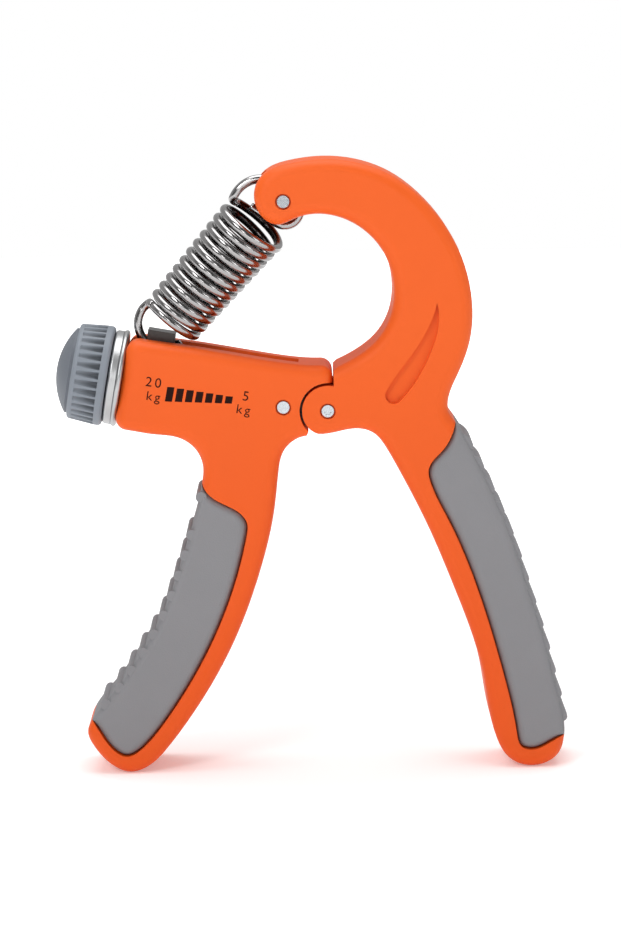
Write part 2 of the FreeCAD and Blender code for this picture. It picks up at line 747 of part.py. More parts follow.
def adjusting_screw():
    """Threaded rod; round grooves one pitch apart stand for the thread."""
    left, right = -size("screw_left"), -size("screw_right")
    crest, root, pitch = size("screw_radius"), size("screw_root"), size("thread_pitch")
    points = [(left, 0), (left, crest), (-40.0, crest)]
    u = -39.0
    while u < -12.5:
        points += [(u, crest), (u + pitch / 2, root)]
        u += pitch
    groove = size("circlip_groove")
    points += [(u, crest), (-groove, crest), (-groove, root), (-groove + size("circlip_thickness"), root)]
    points += [(-groove + size("circlip_thickness"), crest), (right, crest), (right, 0)]
    node(revolve("screw", polygon(*points)), "adjusting_screw", "screw")


def knob_parts():
    r, face, rim = size("knob_radius"), size("knob_face_radius"), size("knob_rim")
    start, hub = -size("knob_start"), size("hub_radius")
    end = start - size("knob_length")
    outline = [
        *chain((start, hub), (start, r - 0.9)),
        arc((start, r - 0.9), (start - 0.26, r - 0.26), (start - 0.9, r)),
        *chain((start - 0.9, r), (start - rim, r), (end + 0.8, face)),
        arc((end + 0.8, face), (end + 0.23, face - 0.23), (end, face - 0.8)),
        *chain((end, face - 0.8), (end, 6.2), (end + 3.4, 6.2), (end + 3.4, size("screw_radius")),
               (-size("hub_end"), size("screw_radius")), (-size("hub_end"), hub), (start, hub)),
    ]
    body = revolve("knob", outline)
    groove = [circle((0, r + 0.1), size("groove_radius"))]
    cutter = pocket(body, groove, f"<knob_length>-<knob_rim>-1.2", -1, "-<knob_start>-<knob_rim>", "YZ_Plane")
    pattern = body.newObject("PartDesign::PolarPattern", "knob_grooves")
    pattern.Originals = [cutter]
    pattern.Axis = ([f for f in body.Origin.OriginFeatures if f.Role == "X_Axis"][0], [""])
    pattern.Angle = 360
    bind(pattern, Occurrences="<knob_grooves>")
    body.Tip = pattern
    node(body, "knob_body", "screw")

    c, h, skirt = size("cap_radius"), size("cap_height"), 0.7
    dome = (c * c + (h - skirt) ** 2) / (2 * (h - skirt))
    half = math.asin(c / dome) / 2
    cap = closed(
        [(end, 6.0), (end, c)],
        [(end, c), (end - skirt, c)],
        arc((end - skirt, c), (end - h + dome * (1 - math.cos(half)), dome * math.sin(half)), (end - h, 0)),
        [(end - h, 0), (end - 1.4, 0)],
        [(end - 1.4, 0), (end - 1.4, 6.0)],
    )
    node(revolve("cap", cap), "knob_cap", "screw")

    nut = new_body("nut")
    hexagon = [polar(4.6, 60 * i) for i in range(6)]
    pad(nut, polygon(*hexagon), 2.2, 1, f"-<knob_start>-<knob_length>+3.4-2.2", "YZ_Plane")
    bored = cut("nut_bored", nut, along("nut_bore", -60, -40, "<screw_radius>"))
    node(bored, "knob_nut", "screw")


def collar_and_bearings():
    inner, outer = size("collar_bore"), size("collar_radius")
    start = -size("housing_end")
    end = start - size("collar_length")
    soft, bead = size("collar_round"), size("collar_bead")
    slant = soft * (1 - math.sqrt(0.5))
    outline = closed(
        [(start, inner), (start, bead - soft)],
        arc((start, bead - soft), (start - soft, bead), (start - 2 * soft, bead - soft)),
        [(start - 2 * soft, bead - soft), (start - 2 * soft, outer)],
        [(start - 2 * soft, outer), (end + soft, outer)],
        arc((end + soft, outer), (end + slant, outer - slant), (end, outer - soft)),
        [(end, outer - soft), (end, inner)],
    )
    node(revolve("collar", outline), "collar", "screw")
    washer = along("thrust", "-<hub_end>+0.05", "-<housing_end>", 4.6)
    node(cut("thrust_ring", washer, along("thrust_bore", -45, -38, "<screw_bore>")), "thrust_washer", "screw")
    bush = along("bush", "-<channel_right>", "-<channel_right>+<bush_length>", "<bush_radius>")
    node(cut("bush_ring", bush, along("bush_bore", -20, -2, "<screw_bore>")), "screw_bush", "screw")
    clip = along("clip", "-<circlip_groove>", "-<circlip_groove>+<circlip_thickness>", "<circlip_radius>")
    mouth = block("clip_mouth", -10, -3, 1.4, 0, 6)
    node(cut("clip_ring", clip, along("clip_bore", -10, -3, "<screw_root>"), mouth), "screw_circlip", "screw")


# ---------------------------------------------------------------- slider, in the screw's frame


def slider_parts():
    at, half = size("slider_at"), size("nut_half_length")
    foot = block("nut_seat", "-<slider_at>-<saddle_half_length>", "-<slider_at>+<saddle_half_length>",
                 "<saddle_half>", "<saddle_foot>", 12)
    nut = block("traveller", "-<slider_at>-<nut_half_length>", "-<slider_at>+<nut_half_length>", "<nut_half>",
                "-<nut_half>", "<nut_half>")
    node(cut("traveller_cut", nut, foot, along("traveller_bore", -45, -20, "<screw_bore>")), "traveller_nut", "screw")

    blank = block("saddle", "-<slider_at>-<saddle_half_length>", "-<slider_at>+<saddle_half_length>",
                  "<saddle_half>", "<saddle_foot>", "<saddle_top>")
    room = block("hook_room", -at - 9, -at + 9, "<saddle_slot>", 6.4, 30)
    bar = cylinder("saddle_bar", (-at, 0, size("hook_height")), (0, 1, 0), "<saddle_round>", 12)
    bind(bar, Placement__Base__y=-6)
    node(cut("saddle_cut", blank, cut("hook_room_cut", room, bar)), "hook_saddle", "screw")


# ---------------------------------------------------------------- spring


def wire_along(name, curves, start, direction):
    """A round wire swept along a path in the X-Z plane."""
    path = doc.addObject("Part::Feature", name + "_path")
    path.Shape = Part.Wire(Part.__sortEdges__([c.toShape() for c in curves]))
    return sweep(name, path, len(curves), start, direction)


def sweep(name, path, edges, start, direction):
    section = doc.addObject("Part::Circle", name + "_section")
    bind(section, Radius="<wire_radius>")
    section.Placement = Placement(start, Rotation(Vector(0, 0, 1), direction))
    made = doc.addObject("Part::Sweep", name)
    made.Sections = [section]
    made.Spine = (path, [f"Edge{i + 1}" for i in range(edges)])
    made.Solid = True
    made.Frenet = True
    doc.recompute()
    return made


def coil():
    """The coil, on its own axis from below to above the first and last turn."""
    helix = doc.addObject("Part::Helix", "coil_path")
    bind(helix, Radius="<coil_radius>", Pitch="<coil_pitch>", Height="<coil_pitch>*<coil_turns>")
    doc.recompute()
    r, rise = size("coil_radius"), size("coil_pitch") / (2 * math.pi)
    start = Vector(r, 0, 0)
    swept = sweep("coil_wire", helix, len(helix.Shape.Edges), start, Vector(0, r, rise))
    placed = group("coil", swept)
    return placed


def spring_parts():
    sx, sz = screw_xy(-size("slider_at"), size("hook_height"))
    # lower hook: part of a ring round the saddle's bar
    hook = doc.addObject("Part::Torus", "hook")
    bind(hook, Radius1="<hook_radius>", Radius2="<wire_radius>", Angle3="<hook_sweep>")
    cx, cz = polar(1.0, size("hook_start"))
    hook.Placement = Placement(Vector(sx, 0, sz), Rotation(Vector(cx, 0, cz), Vector(-cz, 0, cx), Vector(0, -1, 0)))
    node(group("spring_hook", hook), "spring_hook")

    # coil: its turns leave the ring at the left and reach the loop at the left
    tilt = math.radians(size("coil_tilt"))
    up = Vector(math.cos(tilt), 0, math.sin(tilt))
    left = Vector(-math.sin(tilt), 0, math.cos(tilt))
    turned = coil()
    turn = Rotation(left, up.cross(left), up)
    turned.Placement = Placement(Vector(size("coil_x"), 0, size("coil_z")), turn)
    node(group("spring_coil", turned), "spring_coil")

    # upper loop: up the left side, over the pin, down the right side and back along its foot
    r, centre, tail = size("loop_radius"), size("loop_centre"), size("loop_tail")
    corner = centre - tail
    reach = size("loop_reach")

    def at(a, p):
        base = Vector(size("coil_x"), 0, size("coil_z")) + up * (reach + a) + left * p
        return base

    bend = corner * (1 - math.sqrt(0.5))
    runs = [
        Part.LineSegment(at(1.5, r), at(centre, r)),
        Part.Arc(at(centre, r), at(centre + r, 0), at(centre, -r)),
        Part.Arc(at(centre, -r), at(tail + bend, -r + bend), at(tail, -r + corner)),
        Part.LineSegment(at(tail, -r + corner), at(tail, 2.3)),
    ]
    node(group("spring_loop", wire_along("loop", runs, at(1.5, r), up)), "spring_loop")


# ---------------------------------------------------------------- making and writing the pieces


def broken(obj):
    states = [word for word in obj.State if word in ("Invalid", "Error")]
    if obj not in nodes:
        return bool(states)
    return bool(states) or obj.Shape.isNull() or not obj.Shape.isValid() or not obj.Shape.Solids


def make_all():
    left_core = handle_core("left_core", LEFT_OUTER, LEFT_CORE_INSIDE)
    right_core = handle_core("right_core", RIGHT_OUTER, RIGHT_CORE_INSIDE)
    left_room = pad_room("left_pad", LEFT_PAD_EDGE, LEFT_OUTSIDE, left_core)
    right_room = pad_room("right_pad", RIGHT_PAD_EDGE, RIGHT_OUTSIDE, right_core)
    arm_shells("left", left_body, left_tools() + [left_room], LEFT_SCREWS)
    arm_shells("right", right_body, right_tools() + [right_room], RIGHT_SCREWS)
    left_outer, right_outer = left_curves()[1], right_curves()[4]
    grip_pad("left_grip_pad", inset(LEFT_PAD_EDGE, 1), left_outer, left_core, round_ribs(left_outer))
    grip_pad("right_grip_pad", inset(RIGHT_PAD_EDGE, -1), right_outer, right_core, saw_ribs(right_outer))
    hinge_parts()
    shell_screws("left_shell_screws", LEFT_SCREWS)
    shell_screws("right_shell_screws", RIGHT_SCREWS)
    adjusting_screw()
    knob_parts()
    collar_and_bearings()
    slider_parts()
    spring_parts()


def inset(edge, way):
    """A pad's edge drawn back from its recess by the gap, still ending where the recess does."""
    return [edge[0]] + shifted(edge, way * size("pad_gap"))[1:-1] + [edge[-1]]


def write_all():
    os.makedirs("parts", exist_ok=True)
    for made in nodes:
        made.Shape.exportStep(f"parts/{made.Label}.step")


make_all()
doc.recompute()
faults = [obj.Label for obj in doc.Objects if broken(obj)]
whole = Part.makeCompound([made.Shape for made in nodes]).optimalBoundingBox()
if faults:
    raise RuntimeError("not sound: " + ", ".join(faults))
write_all()
print(f"{len(nodes)} nodes, whole x {whole.XMin:.3f} {whole.XMax:.3f} y {whole.YMin:.3f} {whole.YMax:.3f}")
print(f"z {whole.ZMin:.3f} {whole.ZMax:.3f}")
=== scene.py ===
"""Looks for the adjustable hand grip strengthener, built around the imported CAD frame."""

import json
import math

import bpy
from mathutils import Matrix, Vector


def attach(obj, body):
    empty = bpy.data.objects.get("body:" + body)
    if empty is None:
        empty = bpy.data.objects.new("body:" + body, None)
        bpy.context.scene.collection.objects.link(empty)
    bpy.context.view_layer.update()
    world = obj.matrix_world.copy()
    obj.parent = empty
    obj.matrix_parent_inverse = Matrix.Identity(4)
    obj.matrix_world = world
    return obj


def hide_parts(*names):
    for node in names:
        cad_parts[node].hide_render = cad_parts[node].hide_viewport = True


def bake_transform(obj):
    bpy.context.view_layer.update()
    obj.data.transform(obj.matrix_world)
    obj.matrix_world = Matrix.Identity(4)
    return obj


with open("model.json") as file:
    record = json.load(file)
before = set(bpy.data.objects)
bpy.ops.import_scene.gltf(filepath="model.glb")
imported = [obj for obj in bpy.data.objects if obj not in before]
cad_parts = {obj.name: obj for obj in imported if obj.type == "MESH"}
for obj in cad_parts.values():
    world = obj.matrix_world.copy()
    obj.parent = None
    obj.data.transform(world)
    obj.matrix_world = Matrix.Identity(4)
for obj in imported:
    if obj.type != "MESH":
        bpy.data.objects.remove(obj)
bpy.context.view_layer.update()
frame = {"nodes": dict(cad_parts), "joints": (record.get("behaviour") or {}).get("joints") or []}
nodes = frame["nodes"]
joints = {joint["name"]: joint for joint in frame["joints"]}

MM = 0.001
PIVOT = Vector(joints["squeeze"]["pos_m"])
SADDLE = Vector(joints["coil_swing"]["pos_m"])
SCREW_AT = Vector(joints["knob_turn"]["pos_m"])
SCREW_WAY = Vector(joints["knob_turn"]["axis"]).normalized()


def row(point):
    """A point in metres, from one in millimetres about the pivot pin."""
    return PIVOT + point * MM


def at(x, z, y=0.0):
    """The same, from single measures: x to the right, z up and y to the back."""
    return row(Vector((x, y, z)))


def link(name, data):
    """A new object in the scene for a mesh, a curve, a light or a camera."""
    obj = bpy.data.objects.new(name, data)
    bpy.context.scene.collection.objects.link(obj)
    return obj


def mesh_from(name, verts, faces):
    mesh = bpy.data.meshes.new(name)
    mesh.from_pydata([tuple(v) for v in verts], [], faces)
    mesh.update()
    return mesh


def paint(obj, finish):
    obj.data.materials.clear()
    obj.data.materials.append(finish)


# ------------------------------------------------------------------ shader nodes


def map_range(tree, value, low, high, to_low=0.0, to_high=1.0):
    """A linked value carried from one range to another, and held at the ends."""
    node = tree.nodes.new("ShaderNodeMapRange")
    node.inputs["From Min"].default_value = low
    node.inputs["From Max"].default_value = high
    node.inputs["To Min"].default_value = to_low
    node.inputs["To Max"].default_value = to_high
    tree.links.new(value, node.inputs["Value"])
    return node.outputs["Result"]


def arithmetic(tree, operation, first, second):
    """One operation on two linked values."""
    node = tree.nodes.new("ShaderNodeMath")
    node.operation = operation
    tree.links.new(first, node.inputs[0])
    tree.links.new(second, node.inputs[1])
    return node.outputs["Value"]


def vector_math(tree, operation, first, second=(0, 0, 0)):
    """The node for one operation on a linked vector and a fixed one."""
    node = tree.nodes.new("ShaderNodeVectorMath")
    node.operation = operation
    tree.links.new(first, node.inputs[0])
    node.inputs[1].default_value = second
    return node


def separate(tree, vector):
    """The node that splits a linked vector into X, Y and Z."""
    node = tree.nodes.new("ShaderNodeSeparateXYZ")
    tree.links.new(vector, node.inputs["Vector"])
    return node


def noise(tree, place, scale, detail):
    node = tree.nodes.new("ShaderNodeTexNoise")
    node.inputs["Scale"].default_value = scale
    node.inputs["Detail"].default_value = detail
    tree.links.new(place, node.inputs["Vector"])
    return node.outputs["Fac"]


def mix_colours(tree, factor, first, second):
    """A blend from a first colour to a second one, each given as three numbers or as an output to link."""
    node = tree.nodes.new("ShaderNodeMix")
    node.data_type = "RGBA"
    tree.links.new(factor, node.inputs["Factor"])
    for socket, colour in (("A", first), ("B", second)):
        if isinstance(colour, tuple):
            node.inputs[socket].default_value = (*colour, 1)
        else:
            tree.links.new(colour, node.inputs[socket])
    return node.outputs["Result"]


def shader_of(finish):
    return finish.node_tree.nodes["Principled BSDF"]


def place_on(finish):
    """The output that gives a point's place on its own object, in metres."""
    return finish.node_tree.nodes["Texture Coordinate"].outputs["Object"]


def colour_of(finish):
    """The output that gives a finish its colour so far."""
    return shader_of(finish).inputs["Base Color"].links[0].from_socket


def recolour(finish, colour):
    finish.node_tree.links.new(colour, shader_of(finish).inputs["Base Color"])


# ------------------------------------------------------------------ materials

GRAIN_HEIGHT = 0.08 * MM
MOTTLE_DETAIL = 3.0
GRAIN_DETAIL = 2.0


def material(name, colour, roughness, metallic=0.0, grain=0.0, grain_scale=2500.0, mottle=0.05,
             mottle_scale=60.0, specular=0.5, rough_spread=0.06):
    """A procedural material: a softly mottled colour, a roughness that varies with it, and a fine grain."""
    finish = bpy.data.materials.new(name)
    finish.use_nodes = True
    tree = finish.node_tree
    shader = shader_of(finish)
    shader.inputs["Metallic"].default_value = metallic
    shader.inputs["Specular IOR Level"].default_value = specular
    tree.nodes.new("ShaderNodeTexCoord")
    soft = noise(tree, place_on(finish), mottle_scale, MOTTLE_DETAIL)
    darker = tuple(c * (1 - mottle) for c in colour)
    lighter = tuple(c * (1 + mottle) for c in colour)
    recolour(finish, mix_colours(tree, soft, darker, lighter))
    rough = map_range(tree, soft, 0.0, 1.0, roughness - rough_spread, roughness + rough_spread)
    tree.links.new(rough, shader.inputs["Roughness"])
    if grain > 0:
        bump = tree.nodes.new("ShaderNodeBump")
        bump.inputs["Strength"].default_value = grain
        bump.inputs["Distance"].default_value = GRAIN_HEIGHT
        tree.links.new(noise(tree, place_on(finish), grain_scale, GRAIN_DETAIL), bump.inputs["Height"])
        tree.links.new(bump.outputs["Normal"], shader.inputs["Normal"])
    return finish


ORANGE = material("orange_plastic", (0.81, 0.114, 0.012), 0.50, grain=0.25, mottle=0.03, specular=0.25)
PAD = material("grey_rubber", (0.236, 0.234, 0.245), 0.75, grain=0.6, grain_scale=3200.0, specular=0.3)
KNOB = material("blue_grey_plastic", (0.135, 0.15, 0.175), 0.5, grain=0.35, specular=0.35)
KNOB_RING = material("ribbed_plastic", (0.215, 0.24, 0.275), 0.5, grain=0.35, specular=0.35)
WIRE = material("polished_wire", (0.37, 0.362, 0.362), 0.19, metallic=1.0, grain=0.1, mottle=0.04,
                mottle_scale=250.0, rough_spread=0.03)
ZINC = material("zinc", (0.50, 0.53, 0.56), 0.25, metallic=1.0, grain=0.15)
NICKEL = material("satin_nickel", (0.47, 0.475, 0.48), 0.36, metallic=1.0, grain=0.2)
STEEL = material("plain_steel", (0.45, 0.45, 0.46), 0.38, metallic=1.0, grain=0.3, mottle=0.1)
DARK = material("dark_steel", (0.055, 0.05, 0.048), 0.32, metallic=0.85, grain=0.2, mottle=0.1)
BRASS = material("brass", (0.62, 0.42, 0.16), 0.3, metallic=1.0, grain=0.2, mottle=0.08)
INK = material("dark_ink", (0.020, 0.006, 0.004), 0.65, mottle=0.15, specular=0.08)
# painted shade: a darker orange for the lower handles, full below the first height and gone above the
# second, in metres
LOW_SHADE_ORANGE = (0.77, 0.090, 0.005)
LOW_SHADE_FULL_BELOW, LOW_SHADE_CLEAR_ABOVE = 0.030, 0.110
# painted shade for the grooves of the knob's ribbed ring
GROOVE_SHADE_COLOUR = (0.062, 0.07, 0.083)
# painted shade for the sides of the wire that look into the coil
COIL_SHADE_COLOUR = (0.05, 0.045, 0.045)

# the shade on the knob's ribbed ring, in millimetres: stations along the screw from its joint, and radii
RING_FROM, RING_TO, RING_EDGE = 45.6, 51.8, 0.4
SHADE_STARTS, SHADE_FULL = 12.35, 11.85
TAPER_FROM, TAPER_TO, TAPER = 45.9, 52.0, 0.55


def paint_low_shade(finish, colour, low, high):
    """Paints shade on a material: a darker colour towards its foot, between two heights in metres."""
    tree = finish.node_tree
    fade = map_range(tree, separate(tree, place_on(finish)).outputs["Z"], low, high)
    recolour(finish, mix_colours(tree, fade, colour, colour_of(finish)))


def paint_coil_shade(finish, colour):
    """Paints shade on a wire where its "outward" mark is low, on the sides that look into the coil."""
    tree = finish.node_tree
    mark = tree.nodes.new("ShaderNodeAttribute")
    mark.attribute_name = "outward"
    recolour(finish, mix_colours(tree, mark.outputs["Fac"], colour, colour_of(finish)))


def shade_grooves(finish, foot, along, colour):
    """Paints shade on what lies below the tops of the knob's ribs; foot and along are the screw's joint and
    axis.
    """
    tree = finish.node_tree
    offset = vector_math(tree, "SUBTRACT", place_on(finish), foot).outputs["Vector"]
    station = vector_math(tree, "DOT_PRODUCT", offset, along).outputs["Value"]
    spoke = vector_math(tree, "CROSS_PRODUCT", offset, along).outputs["Vector"]
    radius = vector_math(tree, "LENGTH", spoke).outputs["Value"]
    taper = map_range(tree, station, TAPER_FROM * MM, TAPER_TO * MM, 0.0, TAPER * MM)
    straight = arithmetic(tree, "ADD", radius, taper)
    deep = map_range(tree, straight, SHADE_STARTS * MM, SHADE_FULL * MM)
    start = map_range(tree, station, RING_FROM * MM, (RING_FROM + RING_EDGE) * MM)
    end = map_range(tree, station, RING_TO * MM, (RING_TO - RING_EDGE) * MM)
    share = arithmetic(tree, "MULTIPLY", deep, arithmetic(tree, "MULTIPLY", start, end))
    recolour(finish, mix_colours(tree, share, colour_of(finish), colour))


# painted shade on the orange plastic, darker towards the foot
paint_low_shade(ORANGE, LOW_SHADE_ORANGE, LOW_SHADE_FULL_BELOW, LOW_SHADE_CLEAR_ABOVE)
# painted shade on the wire inside the coil
paint_coil_shade(WIRE, COIL_SHADE_COLOUR)
# painted shade in the grooves of the knob ring
shade_grooves(KNOB_RING, SCREW_AT, -SCREW_WAY, GROOVE_SHADE_COLOUR)

FINISHES = (
    (ORANGE, ["left_front_shell", "left_back_shell", "right_front_shell", "right_back_shell"]),
    (PAD, ["left_grip_pad", "right_grip_pad"]),
    (KNOB, ["knob_cap"]),
    (KNOB_RING, ["knob_body"]),
    (WIRE, ["spring_hook", "spring_coil", "spring_loop"]),
    (ZINC, ["pivot_pin", "hinge_rivet", "spring_anchor_pin", "knob_nut"]),
    (ZINC, ["left_shell_screws", "right_shell_screws"]),
    (NICKEL, ["collar"]),
    (STEEL, ["hinge_spacers", "pivot_washers", "adjusting_screw"]),
    (DARK, ["hinge_plates", "screw_circlip", "hook_saddle"]),
    (BRASS, ["thrust_washer", "screw_bush", "traveller_nut"]),
)
for finish, names in FINISHES:
    for name in names:
        paint(nodes[name], finish)

# ------------------------------------------------------------------ spring wire

WIRE_SIDES = 20
WIRE_END = 0.80  # the share of the radius that a wire's first and last rings have, for a broken edge
CURVE_STEP = 0.35  # about how long a step along a smooth path is, in millimetres
INWARD, SIDEWAYS = -0.75, -0.05  # how far a surface faces away from an axis, where 1 is straight away


def facing(point, normal, foot, along):
    """0 where a surface looks back at an axis, 1 where it looks sideways or away from it."""
    from_axis = point - foot
    from_axis = (from_axis - along * from_axis.dot(along)).normalized()
    t = min(1.0, max(0.0, (normal.dot(from_axis) - INWARD) / (SIDEWAYS - INWARD)))
    return t * t * (3 - 2 * t)


def tube(name, path, radius, axis=None):
    """A closed round tube along a path in metres, marked "outward" where it doesn't look back at an axis."""
    last = len(path) - 1
    side = (path[1] - path[0]).orthogonal().normalized()
    verts, faces, outward = [], [], []
    for i, point in enumerate(path):
        way = (path[min(i + 1, last)] - path[max(i - 1, 0)]).normalized()
        side = (side - way * side.dot(way)).normalized()
        other = way.cross(side)
        size = radius * WIRE_END if i in (0, last) else radius
        for k in range(WIRE_SIDES):
            angle = 2 * math.pi * k / WIRE_SIDES
            normal = side * math.cos(angle) + other * math.sin(angle)
            verts.append(point + normal * size)
            # the "outward" mark chooses where the wire gets painted shade
            outward.append(1.0 if axis is None else facing(point, normal, *axis))
    for i in range(last):
        low, high = i * WIRE_SIDES, (i + 1) * WIRE_SIDES
        for k in range(WIRE_SIDES):
            n = (k + 1) % WIRE_SIDES
            faces.append((low + k, low + n, high + n, high + k))
    faces.append(tuple(reversed(range(WIRE_SIDES))))
    faces.append(tuple(range(last * WIRE_SIDES, (last + 1) * WIRE_SIDES)))
    mesh = mesh_from(name, verts, faces)
    mesh.attributes.new("outward", "FLOAT", "POINT").data.foreach_set("value", outward)
    for poly in mesh.polygons:
        poly.use_smooth = len(poly.vertices) == 4
    return link(name, mesh)


def smooth_path(points):
    """A Catmull-Rom curve through points in millimetres, in even steps."""
    pts = [points[0]] + points + [points[-1]]
    out = []
    for a, b, c, d in zip(pts, pts[1:], pts[2:], pts[3:]):
        n = max(1, int((c - b).length / CURVE_STEP))
        for i in range(n):
            t = i / n
            out.append(0.5 * ((2 * b) + (c - a) * t + (2 * a - 5 * b + 4 * c - d) * t * t
                              + (3 * b - a - 3 * c + d) * t ** 3))
    out.append(points[-1])
    return out


# the spring, in millimetres about the pivot: up along the coil, to its left, and to the back
COIL_SLOPE = math.radians(48.1)
COIL_FOOT = Vector((-38.37, 0, 21.96))
UP = Vector((math.cos(COIL_SLOPE), 0, math.sin(COIL_SLOPE)))
LEFT = Vector((-UP.z, 0, UP.x))
BACK = Vector((0, 1, 0))
WIRE_R = 1.1
TURNS = 12
PITCH = 2.683
COIL_TOP = PITCH * TURNS
LOW_R, HIGH_R = 6.95, 8.1  # the coil's radius at its foot and its top
LEAN_LOW, LEAN_HIGH = 0.75, 1.35  # how far its turns drop in front and rise behind
EASE = 0.5  # the turns at each end over which the lean comes and goes
TOP_LIFT = 0.75  # how much further the last turn rises behind, towards the loop
JOIN = 0.09  # the turns at each end that belong to the hook and the loop
STEPS_PER_TURN = 64
HOOK_R = 6.3
HOOK_ARC = range(-48, -205, -6)  # in degrees about the saddle


def coil_point(turn):
    """The coil's middle line, some turns above its foot: a helix that widens and leans as it climbs."""
    share = turn / TURNS
    angle = 2 * math.pi * turn
    radius = LOW_R + (HIGH_R - LOW_R) * share
    lean = LEAN_LOW + (LEAN_HIGH - LEAN_LOW) * share
    ease = max(0.0, min(1.0, turn / EASE, (TURNS - turn) / EASE))
    rise = PITCH * turn - lean * ease * math.sin(angle)
    if turn > TURNS - EASE:
        rise -= TOP_LIFT * math.sin(angle)
    return COIL_FOOT + UP * rise + LEFT * (radius * math.cos(angle)) - BACK * (radius * math.sin(angle))


def spring_point(up, left, back=0.0):
    """A point by its distances from the coil's foot: up along the coil, to its left, and to the back."""
    return COIL_FOOT + UP * up + LEFT * left + BACK * back


def hook_point(degrees):
    """A point of the hook's arc about the saddle."""
    angle = math.radians(degrees)
    return (SADDLE - PIVOT) / MM + Vector((math.cos(angle), 0, math.sin(angle))) * HOOK_R


def hook_route():
    """The arc round the saddle, then the bend into the coil's foot."""
    arc = [hook_point(degrees) for degrees in HOOK_ARC]
    bend = [hook_point(-211), hook_point(-221) + BACK * 0.05]
    meet = [coil_point(0.012) - UP * 0.25, coil_point(0.05) - UP * 0.08, coil_point(JOIN)]
    return arc + bend + meet


def coil_route():
    steps = TURNS * STEPS_PER_TURN
    return [coil_point(JOIN + (TURNS - 2 * JOIN) * i / steps) for i in range(steps + 1)]


# the loop on the anchor pin: how far above the coil's top, and how far left of its middle
LOOP = [
    (2.6, 8.55), (4.6, 8.45), (6.5, 7.85), (8.2, 6.7), (9.8, 4.7), (11.0, 2.1), (11.4, -0.7), (11.1, -3.5),
    (10.0, -5.7), (8.2, -6.9), (6.2, -7.1), (4.5, -6.3), (3.4, -4.8), (2.85, -2.6), (2.4, 0.4), (2.0, 3.7),
]


def loop_route():
    """The coil's last bit of wire, then once round the anchor pin."""
    meet = [coil_point(TURNS - JOIN), coil_point(TURNS - JOIN / 2) + UP * 0.12]
    rise = [spring_point(COIL_TOP + 0.9, HIGH_R + 0.1, 0.35)]
    return meet + rise + [spring_point(COIL_TOP + up, left) for up, left in LOOP]


def wire(name, route, node, axis=None):
    """A wire along a route in millimetres, in place of its CAD solid."""
    obj = tube(name, [row(point) for point in route], WIRE_R * MM, axis)
    paint(obj, WIRE)
    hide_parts(node)
    return obj


hook_wire = wire("hook_wire", smooth_path(hook_route()), "spring_hook")
coil_wire = wire("coil_wire", coil_route(), "spring_coil", axis=(row(COIL_FOOT), UP))
loop_wire = wire("loop_wire", smooth_path(loop_route()), "spring_loop")
row(coil_point(0.0))
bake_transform(hook_wire)
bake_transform(coil_wire)
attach(loop_wire, "spring_upper")

# ------------------------------------------------------------------ printed scale on the housing

PRINT_Y = -11.02
INK_THICK = 0.02
BARS = 7
BAR_X, BAR_STEP = -38.92, 2.44
BAR_LEFT, BAR_RIGHT = -1.0, 0.75
BAR_HIGH, BAR_SHORTER = 3.55, 0.30  # the first bar's height, and what each next one loses
BAR_FOOT, BAR_LOWER = 3.15, 0.12  # the first bar's foot, and how much lower each next one stands
BAR_SLOPE = 0.12  # how much lower a bar's right side is
BAR_LEAN = 0.20  # how far a bar's top stands to the right, as a share of its height
LETTER_TURN = math.radians(9.0)
LETTER_SIZE = 1.38  # the font size that makes a letter 1 high
LETTER_SPACE = 1.35


def print_on(obj):
    """Makes a piece ink on the left housing."""
    paint(obj, INK)
    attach(obj, "left_arm")


def bar(name, corners):
    """A thin printed patch on the front face."""
    verts = [at(x, z, y) for y in (PRINT_Y, PRINT_Y + INK_THICK) for x, z in corners]
    n = len(corners)
    faces = [tuple(range(n)), tuple(reversed(range(n, 2 * n)))]
    faces += [(i, i + n, (i + 1) % n + n, (i + 1) % n) for i in range(n)]
    print_on(link(name, mesh_from(name, verts, faces)))


def lettering(name, text, x, z, height):
    """Printed letters of a height in millimetres, turned a little with the housing."""
    curve = bpy.data.curves.new(name, "FONT")
    curve.body = text
    curve.size = height * MM * LETTER_SIZE
    curve.align_x = "CENTER"
    curve.space_character = LETTER_SPACE
    curve.extrude = INK_THICK * MM / 2
    obj = link(name, curve)
    obj.matrix_world = (Matrix.Translation(at(x, z, PRINT_Y)) @ Matrix.Rotation(LETTER_TURN, 4, "Y")
                        @ Matrix.Rotation(math.pi / 2, 4, "X"))
    bpy.context.view_layer.update()
    mesh = bpy.data.meshes.new_from_object(obj.evaluated_get(bpy.context.evaluated_depsgraph_get()))
    mesh.transform(obj.matrix_world)
    bpy.data.objects.remove(obj)
    print_on(link(name + "_print", mesh))


for i in range(BARS):
    left = BAR_X + i * BAR_STEP + BAR_LEFT
    right = BAR_X + i * BAR_STEP + BAR_RIGHT
    high = BAR_HIGH - i * BAR_SHORTER
    foot = BAR_FOOT - i * BAR_LOWER
    lean = high * BAR_LEAN
    bottom = [(left, foot), (right, foot - BAR_SLOPE)]
    bar(f"scale_bar_{i + 1}", bottom + [(x + lean, z + high) for x, z in reversed(bottom)])
lettering("mark_20", "20", -42.75, 6.75, 2.45)
lettering("mark_kg_high", "kg", -42.9, 3.35, 2.35)
lettering("mark_5", "5", -20.2, 3.0, 2.45)
lettering("mark_kg_low", "kg", -20.9, -0.25, 2.35)

# ------------------------------------------------------------------ floor, light and camera

FLOOR_RADIUS = 1.6
FLOOR_SIDES = 96
FLOOR_Z = -0.05 * MM
GLOW_FROM, GLOW_TO = 0.25, 0.85  # how far out the floor's glow starts to grow, and where it is full
GLOW_NEAR, GLOW_FAR = 0.20, 1.0
SKY_FRONT, SKY_BACK = -0.55, 0.10  # how far to the back a ray goes, where the world's light changes
SKY_DIM, SKY_BRIGHT = 0.12, 0.55
CAMERA_DISTANCE = 0.780
CAMERA_TILT = math.radians(8.5)
CAMERA_ROLL = math.radians(0.92)
CAMERA_AIM = at(-4.456, -14.966)


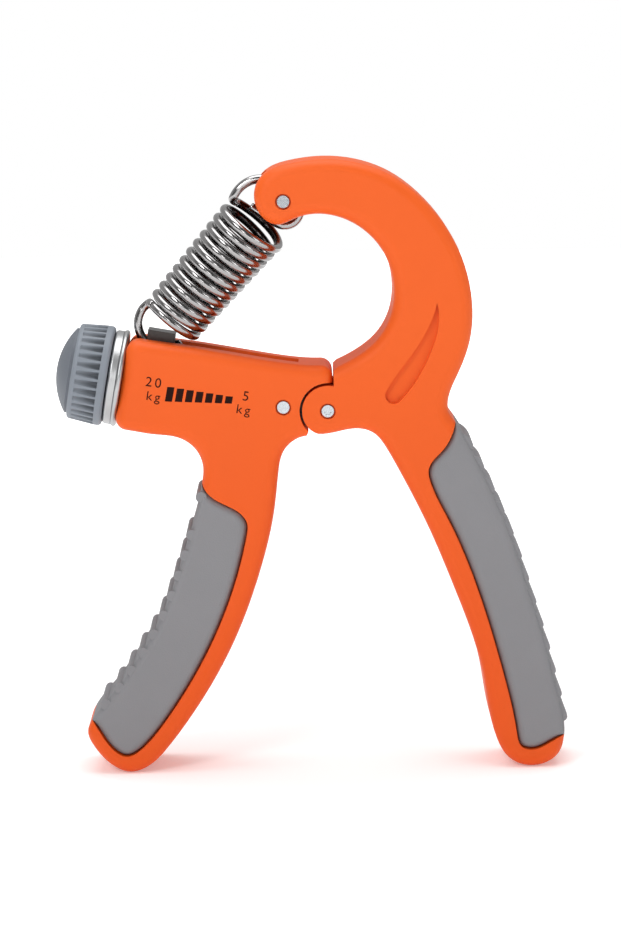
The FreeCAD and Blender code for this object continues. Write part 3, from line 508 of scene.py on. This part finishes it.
def floor_finish():
    """White that glows more with distance, so that the floor's far edge melts into the background."""
    finish = material("white_floor", (0.97, 0.97, 0.97), 0.7, mottle=0.0, specular=0.05)
    tree = finish.node_tree
    reach = vector_math(tree, "LENGTH", place_on(finish)).outputs["Value"]
    shader_of(finish).inputs["Emission Color"].default_value = (1, 1, 1, 1)
    glow = map_range(tree, reach, GLOW_FROM, GLOW_TO, GLOW_NEAR, GLOW_FAR)
    tree.links.new(glow, shader_of(finish).inputs["Emission Strength"])
    return finish


def floor():
    """A disc just below the object's foot."""
    angles = [2 * math.pi * k / FLOOR_SIDES for k in range(FLOOR_SIDES)]
    ring = [(FLOOR_RADIUS * math.cos(a), FLOOR_RADIUS * math.sin(a), FLOOR_Z) for a in angles]
    obj = link("floor", mesh_from("floor", ring, [tuple(range(FLOOR_SIDES))]))
    paint(obj, floor_finish())


def studio():
    """A world that the camera sees white, and that gives the object little light from in front."""
    world = bpy.data.worlds.new("studio")
    bpy.context.scene.world = world
    world.use_nodes = True
    tree = world.node_tree
    way = tree.nodes.new("ShaderNodeTexCoord").outputs["Generated"]
    shade = map_range(tree, separate(tree, way).outputs["Y"], SKY_FRONT, SKY_BACK, SKY_DIM, SKY_BRIGHT)
    seen = tree.nodes.new("ShaderNodeLightPath").outputs["Is Camera Ray"]
    tree.links.new(arithmetic(tree, "MAXIMUM", shade, seen), tree.nodes["Background"].inputs["Color"])


def area(name, place, aim, size, power):
    """A square soft light, with its size in metres and its power in watts."""
    light = bpy.data.lights.new(name, "AREA")
    light.energy = power
    light.size = size
    obj = link(name, light)
    obj.location = place
    obj.rotation_euler = (Vector(aim) - Vector(place)).to_track_quat("-Z", "Y").to_euler()


def photo_camera():
    """The photograph's view: from the front, a little from above, and rolled a little."""
    camera = bpy.data.cameras.new("camera")
    camera.lens = 120.9
    camera.sensor_width = 36.0
    camera.clip_start = 0.01
    camera.clip_end = 50.0
    toward = Vector((0, math.cos(CAMERA_TILT), -math.sin(CAMERA_TILT)))
    level = Vector((1, 0, 0))
    upright = Vector((0, math.sin(CAMERA_TILT), math.cos(CAMERA_TILT)))
    right = level * math.cos(CAMERA_ROLL) - upright * math.sin(CAMERA_ROLL)
    up = level * math.sin(CAMERA_ROLL) + upright * math.cos(CAMERA_ROLL)
    obj = link("camera", camera)
    obj.matrix_world = (Matrix.Translation(CAMERA_AIM - toward * CAMERA_DISTANCE)
                        @ Matrix((right, up, -toward)).transposed().to_4x4())
    bpy.context.scene.camera = obj


floor()
studio()
MIDDLE = (0, 0, 0.08)
area("key", (-0.45, -0.75, 0.70), MIDDLE, 0.35, 3.4)
area("fill", (0.80, -0.65, 0.35), MIDDLE, 0.35, 1.2)
area("front", (-0.14, -0.95, 0.30), MIDDLE, 0.26, 0.9)
area("top", (0.0, 0.05, 1.0), (0, 0.05, 0), 0.80, 6.2)
photo_camera()
bpy.context.scene.view_settings.view_transform = "Standard"
